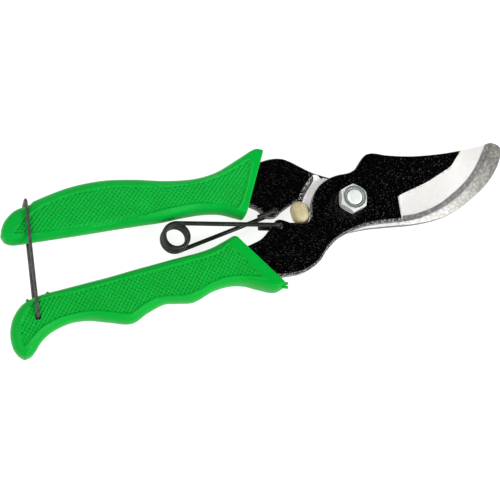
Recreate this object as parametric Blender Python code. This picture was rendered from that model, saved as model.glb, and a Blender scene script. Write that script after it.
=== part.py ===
"""Bypass pruning shears lying flat and latched closed: +X to the jaws, +Y to the hook's grip, +Z to the nut.

Lengths are in millimetres; the origin is on the pivot axis, at the outer face of the bolt head.
"""

import math

import bmesh
import bpy
from mathutils import Vector

MM = 0.001

# Lengths on either side of the pivot: the drawn outlines stretch to them beyond these two places
HANDLE_START = -34.0
HANDLE_LENGTH = 105.5
HANDLE_DRAWN = 105.5
JAW_START = 16.0
JAW_LENGTH = 53.3
JAW_DRAWN = 53.3

# Clearances
GAP = 0.3
WIRE_GAP = 0.35

# How far a cutting shape runs past the solid it cuts, and how far it stands off a face it only meets
CUT_PAST = 1.0
CUT_ABOVE = 0.01

# Heights, from the bolt head's outer face up
HEAD_HEIGHT = 4.0
HOOK_THICK = 3.9
HOOK_PIVOT_THICK = 2.7
BLADE_THICK = 3.5
NUT_HEIGHT = 5.0
HOOK_Z0 = HEAD_HEIGHT + GAP
HOOK_Z1 = HOOK_Z0 + HOOK_THICK
FLOOR_Z = HOOK_Z0 + HOOK_PIVOT_THICK
BLADE_Z0 = FLOOR_Z + GAP
BLADE_Z1 = BLADE_Z0 + BLADE_THICK
NUT_Z0 = BLADE_Z1 + GAP
MID_Z = (HOOK_Z0 + BLADE_Z1) / 2

# Pivot bolt and nut, M6
BOLT_RADIUS = 3.0
ACROSS_FLATS = 10.0
CORNER_CHAMFER = 0.9
HEXAGON_TURN = 15
SHANK_STANDS = 0.2
SHANK_CHAMFER = 0.55

# Plate edges
BLADE_EASE = 0.2
HOOK_EASE = 0.35

# Blade edge: height left at the cutting edge, and where the two grinds meet
GRIND_RAMP = 2
EDGE_HEIGHT = 0.25
GRIND_HEIGHT = 1.1

# Grips
GRIP_THICK_FRONT = 11.0
GRIP_THICK_REAR = 8.2
GRIP_ROUND = 3.4
GRIP_ROUND_FRONT = 1.8
GRIP_FRONT_SHARE = 0.12
TANG_END_X = -92.0

# Torsion spring
SPRING_WIRE = 0.85
COIL_CENTRE = (-70.7, 0.9)
COIL_RADIUS = 4.7
COIL_TURN_GAP = 0.4
COIL_GAP_ANGLE = math.radians(12.0)
BLADE_HOLE = (-30.5, -3.8)
HOOK_HOLE = (-30.1, 2.9)
STUB_LENGTH = 7.5
SPRING_BEND = 2 * SPRING_WIRE

# Catch wire
CATCH_WIRE = 0.6
CATCH_HOLE = (-128.6, -18.4)
CATCH_SEAT = (-122.9, 25.0)
CATCH_LEG_GAP = 0.5
CATCH_BEND = 1.6
CATCH_END = 2.4

# Bumper
BUMPER_X = -20.5
BUMPER_RADIUS = 3.5
BUMPER_UPPER_Y = 1.2
BUMPER_LOWER_Y = -1.0
NOTCH_GAP = 0.45
BUMPER_SIDE_X = BUMPER_X + BUMPER_RADIUS + GAP


def clear_scene():
    for item in list(bpy.data.objects):
        bpy.data.objects.remove(item, do_unlink=True)


def material(name, colour, metallic, roughness):
    made = bpy.data.materials.new(name)
    made.use_nodes = True
    shader = made.node_tree.nodes["Principled BSDF"]
    shader.inputs["Base Color"].default_value = (*colour, 1.0)
    shader.inputs["Metallic"].default_value = metallic
    shader.inputs["Roughness"].default_value = roughness
    return made


def add_object(name, mesh, made_of):
    bmesh.ops.recalc_face_normals(mesh, faces=mesh.faces)
    data = bpy.data.meshes.new(name)
    mesh.to_mesh(data)
    mesh.free()
    item = bpy.data.objects.new(name, data)
    bpy.context.scene.collection.objects.link(item)
    if made_of:
        data.materials.append(made_of)
    return item


def put_origin(item, point):
    """Moves the object's origin to the point, leaving the solid where it is."""
    origin = Vector(point) * MM
    for vertex in item.data.vertices:
        vertex.co -= origin
    item.location = origin


def combine(item, other, operation):
    """Joins to the item, cuts from it or keeps of it the other solid, which isn't a piece of its own."""
    other.hide_render = True
    other.display_type = "WIRE"
    boolean = item.modifiers.new(other.name, "BOOLEAN")
    boolean.operation = operation
    boolean.solver = "EXACT"
    boolean.object = other


def cut(item, cutter):
    combine(item, cutter, "DIFFERENCE")


def placed(point):
    """The drawn point, moved along X to suit the handle and jaw lengths."""
    x, y = point
    if x < HANDLE_START:
        x = HANDLE_START + (x - HANDLE_START) * HANDLE_LENGTH / HANDLE_DRAWN
    if x > JAW_START:
        x = JAW_START + (x - JAW_START) * JAW_LENGTH / JAW_DRAWN
    return Vector((x, y))


def curve_through(points, steps):
    """An open smooth curve through the drawn points, with the given number of steps between each two."""
    points = [placed(point) for point in points]
    before = points[0] * 2 - points[1]
    after = points[-1] * 2 - points[-2]
    held = [before, *points, after]
    made = []
    for i in range(1, len(held) - 2):
        start, end = held[i], held[i + 1]
        leave = (end - held[i - 1]) / 2
        arrive = (held[i + 2] - start) / 2
        reach = (end - start).length
        leave *= min(1.0, reach / max(leave.length, 1e-9))
        arrive *= min(1.0, reach / max(arrive.length, 1e-9))
        for step in range(steps):
            t = step / steps
            a = 2 * t**3 - 3 * t**2 + 1
            b = t**3 - 2 * t**2 + t
            made.append(start * a + leave * b + end * (1 - a) + arrive * (t**3 - t**2))
    made.append(points[-1])
    return made


def outline(stretches, steps=4):
    """A closed outline of smooth stretches, each starting at a corner where the last one ended."""
    made = []
    for i, stretch in enumerate(stretches):
        follows = stretches[(i + 1) % len(stretches)][0]
        if len(stretch) == 1:
            made.append(placed(stretch[0]))
        else:
            made += curve_through([*stretch, follows], steps)[:-1]
    return made


def arc(centre, radius, start, end, count):
    """Points on an arc between two angles in degrees."""
    angles = [math.radians(start + (end - start) * i / (count - 1)) for i in range(count)]
    return [(centre[0] + radius * math.cos(a), centre[1] + radius * math.sin(a)) for a in angles]


def grown(shape, distance):
    """The outline, counter-clockwise, moved outward by the distance."""
    made = []
    for i, point in enumerate(shape):
        before = (point - shape[i - 1]).normalized()
        after = (shape[(i + 1) % len(shape)] - point).normalized()
        out = Vector((before.y + after.y, -before.x - after.x))
        spread = max(out.length_squared / 2, 0.5)
        made.append(point + out * distance / spread)
    return made


def stack(name, rings, made_of=None):
    """A solid through rings of equally many points, closed by its first and last ring."""
    mesh = bmesh.new()
    rows = [[mesh.verts.new(Vector(point) * MM) for point in ring] for ring in rings]
    count = len(rows[0])
    for lower, upper in zip(rows, rows[1:]):
        for i in range(count):
            j = (i + 1) % count
            mesh.faces.new((lower[i], lower[j], upper[j], upper[i]))
    mesh.faces.new(rows[0][::-1])
    mesh.faces.new(rows[-1])
    return add_object(name, mesh, made_of)


def plate(name, shape, low, high, ease=0.0, made_of=None):
    """A flat plate with its long edges eased by a small chamfer."""
    if not ease:
        levels = [(low, 0.0), (high, 0.0)]
    else:
        levels = [(low, -ease), (low + ease, 0.0), (high - ease, 0.0), (high, -ease)]
    rings = []
    for z, grow in levels:
        ring = grown(shape, grow) if grow else shape
        rings.append([(point.x, point.y, z) for point in ring])
    return stack(name, rings, made_of)


def circle(radius, height, sides, centre=(0.0, 0.0)):
    return [(x, y, height) for x, y in arc(centre, radius, 0, 360 - 360 / sides, sides)]


def drill(item, name, centre, radius, low, high, sides=32):
    """A round hole along Z, right through the item between the two heights."""
    ends = (low - CUT_PAST, high + CUT_PAST)
    cut(item, stack(name, [circle(radius, z, sides, centre) for z in ends]))


def tube(name, path, radius, made_of, sides=10):
    """A round wire along the path, with flat ends."""
    path = [Vector(point) for point in path]
    tangents = []
    for i, point in enumerate(path):
        before = path[max(i - 1, 0)]
        after = path[min(i + 1, len(path) - 1)]
        tangents.append((after - before).normalized())
    side = tangents[0].orthogonal().normalized()
    rings = []
    for point, tangent in zip(path, tangents):
        side = (side - tangent * side.dot(tangent)).normalized()
        other = tangent.cross(side)
        ring = []
        for i in range(sides):
            a = 2 * math.pi * i / sides
            ring.append(point + (side * math.cos(a) + other * math.sin(a)) * radius)
        rings.append(ring)
    return stack(name, rings, made_of)


def rounded(corners, radius, steps=5):
    """The path through the corners, with each inner corner turned into an arc."""
    corners = [Vector(corner) for corner in corners]
    made = [corners[0]]
    for before, corner, after in zip(corners, corners[1:], corners[2:]):
        arriving = (corner - before).normalized()
        leaving = (after - corner).normalized()
        turn = arriving.angle(leaving)
        reach = radius * math.tan(turn / 2)
        centre = corner + (leaving - arriving).normalized() * radius / math.cos(turn / 2)
        start = corner - arriving * reach
        spoke = start - centre
        for i in range(steps + 1):
            a = turn * i / steps
            made.append(centre + spoke * math.cos(a) + arriving * radius * math.sin(a))
    made.append(corners[-1])
    return made


def blade_outline():
    """Jaw back, tip, cutting edge, heel, tang in the grip, spring lug, bumper notch and pivot shoulder."""
    notch = arc((BUMPER_X, BUMPER_LOWER_Y), BUMPER_RADIUS + NOTCH_GAP, -118, -28, 6)
    return outline(
        [
            [(65.0, 12.2), (60.0, 11.4), (52.0, 10.9), (42.0, 11.2), (30.0, 12.6), (20.0, 15.0)]
            + [(14.5, 17.0), (11.2, 16.9), (8.4, 14.9), (5.6, 12.3), (2.5, 11.2), (-2.0, 11.2)],
            [(-5.0, 10.9), (-9.6, 9.2), (-13.2, 6.2), (-15.6, 2.4), (BUMPER_SIDE_X, -1.2)],
            [notch[-1], *notch[-2::-1]],
            [(-26.2, -3.4), (-29.0, -1.7), (-31.2, -1.3), (-33.2, -2.7), (-35.4, -4.7), (-39.4, -7.4)],
            [(-46.0, -9.0), (-60.0, -11.2), (TANG_END_X + 4, -12.4), (TANG_END_X, -15.0)],
            [(TANG_END_X + 4, -17.8), (-60.0, -18.2), (-44.0, -21.2)],
            [(-34.5, -23.2), (-27.5, -23.5), (-22.5, -22.3), (-18.4, -20.2), (-15.0, -17.1), (-9.6, -13.6)]
            + [(-4.0, -11.8), (3.0, -10.7), (10.0, -10.9)],
            [(18.3, -11.8), (26.0, -12.0), (36.0, -10.1), (44.0, -7.0), (51.0, -3.0), (57.5, 2.4)]
            + [(62.2, 6.8), (64.8, 10.6)],
        ]
    )


def hook_outline():
    """Hook jaw's outer edge, tip, inner edge, pivot, top edge, tang in the grip, spring lug and notch."""
    notch = arc((BUMPER_X, BUMPER_UPPER_Y), BUMPER_RADIUS + NOTCH_GAP, 28, 128, 6)
    return outline(
        [
            [(-5.0, -11.3), (4.0, -11.3), (14.0, -12.4), (24.0, -13.6), (34.0, -13.6), (43.0, -11.8)]
            + [(51.5, -8.2), (59.5, -3.5), (65.3, 1.9), (68.6, 6.6), (69.3, 9.0), (68.8, 10.4)]
            + [(67.6, 11.5)],
            [(65.8, 12.4)],
            [(63.9, 10.9), (60.0, 6.6), (54.0, 1.8), (46.0, -2.6), (36.0, -5.4), (26.0, -5.6), (17.0, -3.0)]
            + [(11.6, 2.0), (9.4, 6.6), (4.0, 10.0)],
            [(-4.4, 11.3), (-11.3, 15.2), (-15.5, 18.6), (-18.6, 21.2), (-22.0, 23.1), (-26.4, 23.7)],
            [(-32.0, 23.2), (-46.0, 19.0), (-60.0, 18.2), (TANG_END_X + 4, 20.4), (TANG_END_X, 18.0)],
            [(TANG_END_X + 4, 14.0), (-60.0, 12.2), (-46.0, 10.2)],
            [(-39.2, 7.4), (-37.0, 5.8), (-35.6, 4.4), (-35.0, 2.9), (-33.6, 1.4), (-31.6, 0.8)]
            + [(-29.6, 0.9), (-27.4, 2.2)],
            [*notch[::-1]],
            [(BUMPER_SIDE_X + GAP, 1.6), (-12.0, -6.0)],
        ]
    )


def make_blade_lever(made_of):
    lever = plate("blade_lever", blade_outline(), BLADE_Z0, BLADE_Z1, BLADE_EASE, made_of)
    drill(lever, "blade_pivot_hole", (0, 0), BOLT_RADIUS + GAP, BLADE_Z0, BLADE_Z1)
    drill(lever, "blade_spring_hole", BLADE_HOLE, SPRING_WIRE + WIRE_GAP, BLADE_Z0, BLADE_Z1, 20)
    cut(lever, grind_cutter())


def grind_cutter():
    """The body ground off the blade's upper face: a wide hollow face, then a steeper one to the edge."""
    shoulder = [(19.2, -2.2), (21.4, -1.5), (27.1, -0.3), (33.0, 1.1), (39.3, 3.3), (44.6, 5.4)]
    shoulder += [(47.6, 8.0), (50.0, 10.4), (51.2, 13.0)]
    meet = [(18.2, -9.6), (20.8, -10.0), (25.2, -10.2), (30.9, -9.6), (37.0, -8.0), (43.6, -5.0)]
    meet += [(49.8, -1.5), (56.0, 3.6), (64.0, 12.8)]
    edge = [(17.8, -12.8), (20.8, -13.0), (25.2, -12.9), (31.2, -12.2), (38.0, -10.2), (45.5, -7.0)]
    edge += [(52.5, -2.8), (60.3, 4.0), (68.0, 12.8)]
    top = BLADE_Z1 + CUT_PAST
    face = BLADE_Z1 + CUT_ABOVE
    rings = []
    for i, (high, middle, low) in enumerate(zip(*(curve_through(row, 3) for row in (shoulder, meet, edge)))):
        depth = min(1.0, i / GRIND_RAMP) * BLADE_THICK
        deep = depth * (1 - GRIND_HEIGHT / BLADE_THICK)
        deepest = depth * (1 - EDGE_HEIGHT / BLADE_THICK)
        rings.append(
            [
                (high.x, high.y, top),
                (high.x, high.y, face),
                (middle.x, middle.y, face - deep),
                (low.x, low.y, face - deepest),
                (low.x, low.y, top),
            ]
        )
    return stack("grind_cutter", rings)


def make_hook_lever(made_of):
    lever = plate("hook_lever", hook_outline(), HOOK_Z0, HOOK_Z1, HOOK_EASE, made_of)
    recess = outline(
        [
            [(-7.0, 22.0), (-10.6, 15.4), (-11.4, 11.9), (-14.0, 9.3), (-16.8, 6.4)],
            [(-19.4, 2.6), (-19.4, -20.0)],
            [(90.0, -20.0)],
            [(90.0, 22.0)],
        ]
    )
    cut(lever, plate("pivot_recess", recess, FLOOR_Z, HOOK_Z1 + CUT_PAST))
    drill(lever, "hook_pivot_hole", (0, 0), BOLT_RADIUS + GAP, HOOK_Z0, HOOK_Z1)
    drill(lever, "hook_spring_hole", HOOK_HOLE, SPRING_WIRE + WIRE_GAP, HOOK_Z0, HOOK_Z1, 20)


def grip_rings(upper, lower):
    """Rounded sections on the lines joining the two sides, from the front face back to the closed end."""
    sections = 4
    rings = []
    last = len(upper) - 1
    for i, (one, other) in enumerate(zip(upper, lower)):
        half = (one - other).length / 2
        across = (one - other).normalized()
        middle = (one + other) / 2
        along = i / last
        most = GRIP_ROUND_FRONT + (GRIP_ROUND - GRIP_ROUND_FRONT) * min(1.0, along / GRIP_FRONT_SHARE)
        thick = GRIP_THICK_FRONT + (GRIP_THICK_REAR - GRIP_THICK_FRONT) * along
        if half < most:
            thick *= math.sqrt(1 - (1 - half / most) ** 2)
        turn = min(most, half)
        ring = []
        for quarter, (side, start) in enumerate(((1, 0), (-1, 90), (-1, 180), (1, 270))):
            for step in range(sections + 1):
                a = math.radians(start + 90 * step / sections)
                reach = side * (half - turn) + turn * math.cos(a)
                flat = middle + across * reach
                ring.append((flat.x, flat.y, MID_Z + thick / 2 * math.sin(a)))
        rings.append(ring)
    return rings


def make_upper_grip(made_of):
    upper = [(-28.6, 27.3), (-31.8, 28.4), (-39.0, 25.9), (-49.0, 22.4), (-58.0, 21.6), (-69.0, 23.1)]
    upper += [(-81.0, 26.1), (-93.0, 28.1), (-106.0, 28.0), (-119.6, 25.5), (-121.2, 24.5), (-127.2, 23.4)]
    upper += [(-132.0, 19.8), (-134.2, 16.2)]
    lower = [(-42.9, 2.4), (-46.0, 3.9), (-51.5, 6.3), (-58.5, 7.6), (-66.0, 7.9), (-74.0, 7.8)]
    lower += [(-83.0, 8.3), (-93.0, 8.8), (-105.0, 9.3), (-116.0, 9.9), (-120.0, 10.1), (-127.0, 10.5)]
    lower += [(-131.8, 11.3), (-134.0, 13.8)]
    rings = grip_rings(curve_through(upper, 3), curve_through(lower, 3))
    grip = stack("upper_grip", rings, made_of)
    pocket = grown(hook_outline(), GAP)
    cut(grip, plate("upper_pocket", pocket, HOOK_Z0 - GAP, HOOK_Z1 + GAP))


def make_lower_grip(made_of):
    upper = [(-49.3, -3.5), (-53.5, -4.8), (-58.5, -6.2), (-64.0, -6.9), (-70.0, -7.2), (-76.0, -7.4)]
    upper += [(-82.0, -7.7), (-88.0, -8.0), (-94.0, -8.4), (-100.0, -8.8), (-108.0, -9.1), (-117.0, -9.5)]
    upper += [(-126.0, -10.0), (-132.5, -11.8), (-137.2, -16.0), (-139.4, -21.5), (-139.0, -27.5)]
    upper.append((-137.2, -31.0))
    lower = [(-34.4, -27.0), (-38.5, -28.0), (-43.5, -25.8), (-49.0, -23.1), (-55.0, -21.9), (-62.0, -22.5)]
    lower += [(-70.0, -24.9), (-76.0, -24.0), (-81.0, -23.2), (-88.0, -25.0), (-95.0, -27.6)]
    lower += [(-103.0, -25.2), (-110.0, -22.9), (-117.0, -22.4), (-124.0, -24.0), (-129.0, -26.8)]
    lower += [(-132.4, -30.0), (-135.0, -31.7)]
    rings = grip_rings(curve_through(upper, 3), curve_through(lower, 3))
    grip = stack("lower_grip", rings, made_of)
    pocket = grown(blade_outline(), GAP)
    cut(grip, plate("lower_pocket", pocket, BLADE_Z0 - GAP, BLADE_Z1 + GAP))
    low = MID_Z - GRIP_THICK_FRONT / 2
    high = MID_Z + GRIP_THICK_FRONT / 2
    drill(grip, "catch_hole", placed(CATCH_HOLE), CATCH_WIRE + WIRE_GAP, low, high, 16)


def chamfered_hexagon(name, low, high, ease_top, made_of):
    """A hexagon whose corners are cut back to a circle at the lower end, and at the upper one if asked."""
    corner = ACROSS_FLATS / math.sqrt(3)
    shape = [Vector(point) for point in arc((0, 0), corner, HEXAGON_TURN, HEXAGON_TURN + 300, 6)]
    body = plate(name, shape, low, high, made_of=made_of)
    small = corner - CORNER_CHAMFER - 2 * CUT_PAST
    large = corner + CUT_PAST
    rise = (CORNER_CHAMFER + CUT_PAST) / 2
    levels = [(low - CUT_PAST, small), (low + rise, large)]
    if ease_top:
        levels += [(high - rise, large), (high + CUT_PAST, small)]
    else:
        levels.append((high + CUT_PAST, large))
    cone = stack(f"{name}_cone", [circle(radius, z, 48) for z, radius in levels])
    combine(body, cone, "INTERSECT")
    return body


def make_bolt(made_of):
    bolt = chamfered_hexagon("pivot_bolt", 0.0, HEAD_HEIGHT, False, made_of)
    end = NUT_Z0 + NUT_HEIGHT + SHANK_STANDS
    levels = [(HEAD_HEIGHT - CUT_PAST, BOLT_RADIUS), (end - SHANK_CHAMFER, BOLT_RADIUS)]
    levels.append((end, BOLT_RADIUS - SHANK_CHAMFER))
    shank = stack("bolt_shank", [circle(radius, z, 32) for z, radius in levels])
    combine(bolt, shank, "UNION")


def make_nut(made_of):
    nut = chamfered_hexagon("pivot_nut", NUT_Z0, NUT_Z0 + NUT_HEIGHT, True, made_of)
    drill(nut, "nut_bore", (0, 0), BOLT_RADIUS + GAP, NUT_Z0, NUT_Z0 + NUT_HEIGHT)


def make_bumper(made_of):
    """A round buffer lying across the shears, its domed ends in the two notches."""
    rings = []
    for end, start in ((BUMPER_LOWER_Y, -80), (BUMPER_UPPER_Y, 0)):
        for step in range(5):
            a = math.radians(start + 20 * step)
            radius = BUMPER_RADIUS * math.cos(a)
            y = end + BUMPER_RADIUS * math.sin(a)
            rings.append([(BUMPER_X + x, y, MID_Z + z) for x, z, _ in circle(radius, 0.0, 24)])
    stack("bumper", rings, made_of)


def coil_path(start, turns, height, rise):
    """Points round the coil from an angle, over some turns, climbing with the turning."""
    count = max(2, int(abs(turns) * 22))
    made = []
    for i in range(count + 1):
        turned = turns * 2 * math.pi * i / count
        a = start + turned
        spot = placed(COIL_CENTRE) + Vector((math.cos(a), math.sin(a))) * COIL_RADIUS
        made.append((spot.x, spot.y, height + rise * abs(turned) / (2 * math.pi)))
    return made


def leg_tangent(hole, side):
    """The angle on the coil where a straight leg from the hole touches it, on the given side."""
    run = Vector(hole) - placed(COIL_CENTRE)
    return math.atan2(run.y, run.x) + side * math.acos(COIL_RADIUS / run.length)


def make_spring(name, hole, side, low, high, made_of):
    """One leg of the spring and its half of the coil: side is 1 for the blade's leg, -1 for the hook's."""
    start = leg_tangent(hole, side)
    other = leg_tangent(HOOK_HOLE if side > 0 else BLADE_HOLE, -side)
    total = 2 * 2 * math.pi + (other - start) * side % (2 * math.pi)
    half_turns = (total - COIL_GAP_ANGLE) / 2 / (2 * math.pi)
    pitch = 2 * SPRING_WIRE + COIL_TURN_GAP
    height = MID_Z + side * pitch * total / (2 * math.pi) / 2
    coil = coil_path(start, side * half_turns, height, -side * pitch)
    run = (Vector(coil[0][:2]) - Vector(hole)).normalized()
    over = high if side > 0 else low
    under = low if side > 0 else high
    stub = Vector(hole) + run * STUB_LENGTH
    leg = rounded([(*stub, under), (*hole, under), (*hole, over), coil[0]], SPRING_BEND)
    item = tube(name, leg[:-1] + [Vector(point) for point in coil], SPRING_WIRE, made_of)
    put_origin(item, (*hole, 0))


def make_springs(made_of):
    make_spring(
        "blade_spring_leg",
        BLADE_HOLE,
        1,
        BLADE_Z0 - WIRE_GAP - SPRING_WIRE,
        BLADE_Z1 + WIRE_GAP + SPRING_WIRE,
        made_of,
    )
    make_spring(
        "hook_spring_leg",
        HOOK_HOLE,
        -1,
        HOOK_Z0 - WIRE_GAP - SPRING_WIRE,
        HOOK_Z1 + WIRE_GAP + SPRING_WIRE,
        made_of,
    )


def make_catch(made_of):
    """A wire loop over the upper grip, its two ends turned into the lower grip's cross hole."""
    rise = GRIP_THICK_REAR / 2 + CATCH_LEG_GAP + CATCH_WIRE
    hole = placed(CATCH_HOLE)
    seat = placed(CATCH_SEAT)
    top = seat + (seat - hole).normalized() * (GAP + CATCH_WIRE)
    corners = []
    for sign in (1, -1):
        inner = MID_Z + sign * (rise - CATCH_WIRE - CATCH_END)
        ends = [(*hole, inner), (*hole, MID_Z + sign * rise), (*top, MID_Z + sign * rise)]
        corners += ends if sign > 0 else ends[::-1]
    item = tube("catch_wire", rounded(corners, CATCH_BEND, 4), CATCH_WIRE, made_of)
    put_origin(item, (*hole, 0))


def build():
    clear_scene()
    green = material("green_plastic", (0.0, 0.32, 0.05), 0.0, 0.45)
    green_upper = material("green_plastic_upper", (0.0, 0.34, 0.05), 0.0, 0.45)
    paint = material("black_paint", (0.012, 0.012, 0.014), 0.0, 0.3)
    paint_hook = material("black_paint_hook", (0.014, 0.014, 0.016), 0.0, 0.32)
    zinc = material("zinc_plate", (0.68, 0.72, 0.76), 1.0, 0.25)
    steel = material("bolt_steel", (0.6, 0.62, 0.66), 1.0, 0.3)
    wire = material("black_spring_wire", (0.03, 0.03, 0.03), 0.6, 0.4)
    catch = material("catch_steel", (0.035, 0.035, 0.035), 0.6, 0.4)
    rubber = material("cream_rubber", (0.62, 0.58, 0.4), 0.0, 0.6)
    make_blade_lever(paint)
    make_hook_lever(paint_hook)
    make_lower_grip(green)
    make_upper_grip(green_upper)
    make_bolt(steel)
    make_nut(zinc)
    make_bumper(rubber)
    make_springs(wire)
    make_catch(catch)


build()
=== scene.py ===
"""Looks for the bypass pruning shears: black hammered levers, knurled green grips, spring and pivot.

Lengths are in millimetres until a mesh is made. +X runs to the jaws, +Y to the hook's grip and +Z to
the nut.
"""

import math

import bmesh
import bpy
import numpy as np
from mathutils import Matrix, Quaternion, Vector


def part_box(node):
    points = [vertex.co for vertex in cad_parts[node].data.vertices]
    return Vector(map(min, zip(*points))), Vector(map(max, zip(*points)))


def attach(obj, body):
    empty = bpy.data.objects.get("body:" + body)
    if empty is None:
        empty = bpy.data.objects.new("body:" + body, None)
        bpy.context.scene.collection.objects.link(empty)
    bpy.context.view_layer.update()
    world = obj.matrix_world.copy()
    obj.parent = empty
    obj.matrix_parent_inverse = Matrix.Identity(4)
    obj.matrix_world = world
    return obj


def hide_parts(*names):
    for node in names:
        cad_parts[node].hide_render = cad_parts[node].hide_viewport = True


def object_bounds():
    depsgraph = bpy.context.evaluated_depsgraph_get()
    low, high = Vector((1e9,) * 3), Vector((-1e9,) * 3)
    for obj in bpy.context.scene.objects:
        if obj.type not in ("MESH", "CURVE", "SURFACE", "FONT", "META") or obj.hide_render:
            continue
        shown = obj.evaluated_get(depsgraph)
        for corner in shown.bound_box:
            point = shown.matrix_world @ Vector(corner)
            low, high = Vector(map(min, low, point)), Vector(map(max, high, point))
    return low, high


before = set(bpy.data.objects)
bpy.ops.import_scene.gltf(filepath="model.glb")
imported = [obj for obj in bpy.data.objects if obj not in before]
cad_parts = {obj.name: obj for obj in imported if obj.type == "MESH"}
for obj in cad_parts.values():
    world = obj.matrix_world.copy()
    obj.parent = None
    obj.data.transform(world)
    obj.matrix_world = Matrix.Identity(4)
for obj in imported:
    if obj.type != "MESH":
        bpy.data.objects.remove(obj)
CAD_LOW, CAD_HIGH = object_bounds()

MM = 0.001


def heights(node):
    """The node's lowest and highest level, in millimetres."""
    low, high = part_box(node)
    return low.z / MM, high.z / MM


# Heights of the pieces, from the frame
BLADE_LOW, BLADE_HIGH = heights("blade_lever")
HOOK_LOW, HOOK_HIGH = heights("hook_lever")
NUT_HIGH = heights("pivot_nut")[1]
BOLT_END = heights("pivot_bolt")[1]
MIDDLE = (HOOK_LOW + BLADE_HIGH) / 2

# Gap between faces that lie on each other, and the hook's milled face under the blade
CLEARANCE = 0.04
MILLED = BLADE_LOW - CLEARANCE

# Edges: the sharpest angle, in degrees, that is shaded as smooth, and the broken mouth of a hole
CREASE = 32.0
HOLE_BREAK = 0.15

# Blade grind: steel left at the edge and under the hollow face, and where the ground faces start
EDGE_HEIGHT = 0.25
GRIND_HEIGHT = 1.1
BEVEL_TOP = BLADE_LOW + GRIND_HEIGHT
GRIND_HEEL = 18.4
GRIND_RAMP = 8
HOLLOW_SHARE = 0.56

# Milled recess of the hook: its shoulder, as steps back and shares of the way up, then its rim's line
# beside the pivot, as the direction across it and its distance from the pivot
RECESS_SHOULDER = [(0.0, 0.0), (0.12, 0.25), (0.45, 0.5), (1.1, 0.76)]
RECESS_SHOULDER += [(1.9, 0.93), (2.8, 1.05), (4.4, 1.4)]
RIM_ACROSS = (0.492, 0.87)
RIM_DISTANCE = 7.67

# Grips: sizes, then the panel's raised line, the groove inside it and the knurl
GRIP_THICK_FRONT = 11.0
GRIP_THICK_REAR = 8.2
GRIP_ROUND = 3.4
GRIP_ROUND_FRONT = 1.8
GRIP_FRONT_SHARE = 0.12
GRIP_STEP = 0.3
GRIP_FILLET = 0.7
GRIP_END_RUN = 3
GRIP_END_STEPS = 24
GRIP_END_CAP = 0.2
GRIP_FLAT_POINTS = 86
GRIP_ROUND_POINTS = 22
LINE_HEIGHT = 0.3
LINE_WIDTH = 0.36
GROOVE_DEPTH = 0.12
GROOVE_INSET = 0.75
GROOVE_WIDTH = 0.35
KNURL_DEPTH = 0.6
FLASH_RADIUS = 0.6

# Spring, by wire radius. The halves of its coil overlap, and the hook leg's inner end is slimmer
SPRING_WIRE = 0.86
SPRING_HOLE = SPRING_WIRE + 0.3
COIL_CENTRE = (-70.7, 0.9)
COIL_RADIUS = 4.7
COIL_TURNS = 3
COIL_PITCH = 2 * SPRING_WIRE + 0.15
COIL_OVERLAP = math.radians(30.0)
HOOK_LEG_WIRE = SPRING_WIRE - 0.01
HOOK_LEG_SLIM = 0.13
SLIM_POINTS = 3
BLADE_HOLE = (-30.5, -3.8)
HOOK_HOLE = (-30.1, 2.9)
STUB_LENGTH = 7.5

# Catch, by wire radius: its gaps above the grip and round the seat, and how deep its ends turn in
CATCH_WIRE = 0.6
CATCH_HOLE = (-128.6, -18.4)
CATCH_HOLE_RADIUS = CATCH_WIRE + 0.5
CATCH_SEAT = (-122.9, 25.0)
CATCH_LIFT = 0.5
CATCH_SLACK = 0.2
CATCH_END = 2.4

# Bumper and pivot
BUMPER_X = -20.5
BUMPER_RADIUS = 3.5
BUMPER_UPPER_Y = 1.2
BUMPER_LOWER_Y = -1.0
NOTCH_RADIUS = BUMPER_RADIUS + 0.25
BOLT_RADIUS = 2.95
BORE_RADIUS = 3.0
COUNTERSINK = 3.55
THREAD_RIDGES = 6
THREAD_STEP = 0.2
THREAD_DEPTH = 0.16
ACROSS_FLATS = 10.0
CORNER_CHAMFER = 1.1
HEXAGON_TURN = 15

# Stage, in metres
FLOOR_HALF = 4.0
FLOOR_DROP = 0.0002


# ---------------------------------------------------------------- materials


class Signal:
    """A socket among a material's nodes. Python's operators on it add Math nodes."""

    def __init__(self, nodes, socket):
        self.nodes = nodes
        self.socket = socket

    def maths(self, operation, *values):
        return self.nodes.add("ShaderNodeMath", {"operation": operation}, dict(enumerate(values)))

    def __add__(self, other):
        return self.maths("ADD", self, other)

    __radd__ = __add__

    def __sub__(self, other):
        return self.maths("SUBTRACT", self, other)

    def __rsub__(self, other):
        return self.maths("SUBTRACT", other, self)

    def __mul__(self, other):
        return self.maths("MULTIPLY", self, other)

    __rmul__ = __mul__

    def between(self, low, high):
        """0 below the low value, 1 above the high one, and smooth between them."""
        sockets = {0: self, 1: low, 2: high}
        settings = {"interpolation_type": "SMOOTHSTEP"}
        return self.nodes.add("ShaderNodeMapRange", settings, sockets)


class Nodes:
    """A node tree, and the way nodes are added to it."""

    def __init__(self, tree):
        self.tree = tree

    def add(self, kind, settings, sockets, out=0):
        """Adds a node, with its settings before its sockets, and gives one of its outputs."""
        node = self.tree.nodes.new(kind)
        for name, value in settings.items():
            setattr(node, name, value)
        for name, value in sockets.items():
            self.join(node.inputs[name], value)
        return Signal(self, node.outputs[out])

    def join(self, socket, value):
        if isinstance(value, Signal):
            self.tree.links.new(value.socket, socket)
        else:
            socket.default_value = value


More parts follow.
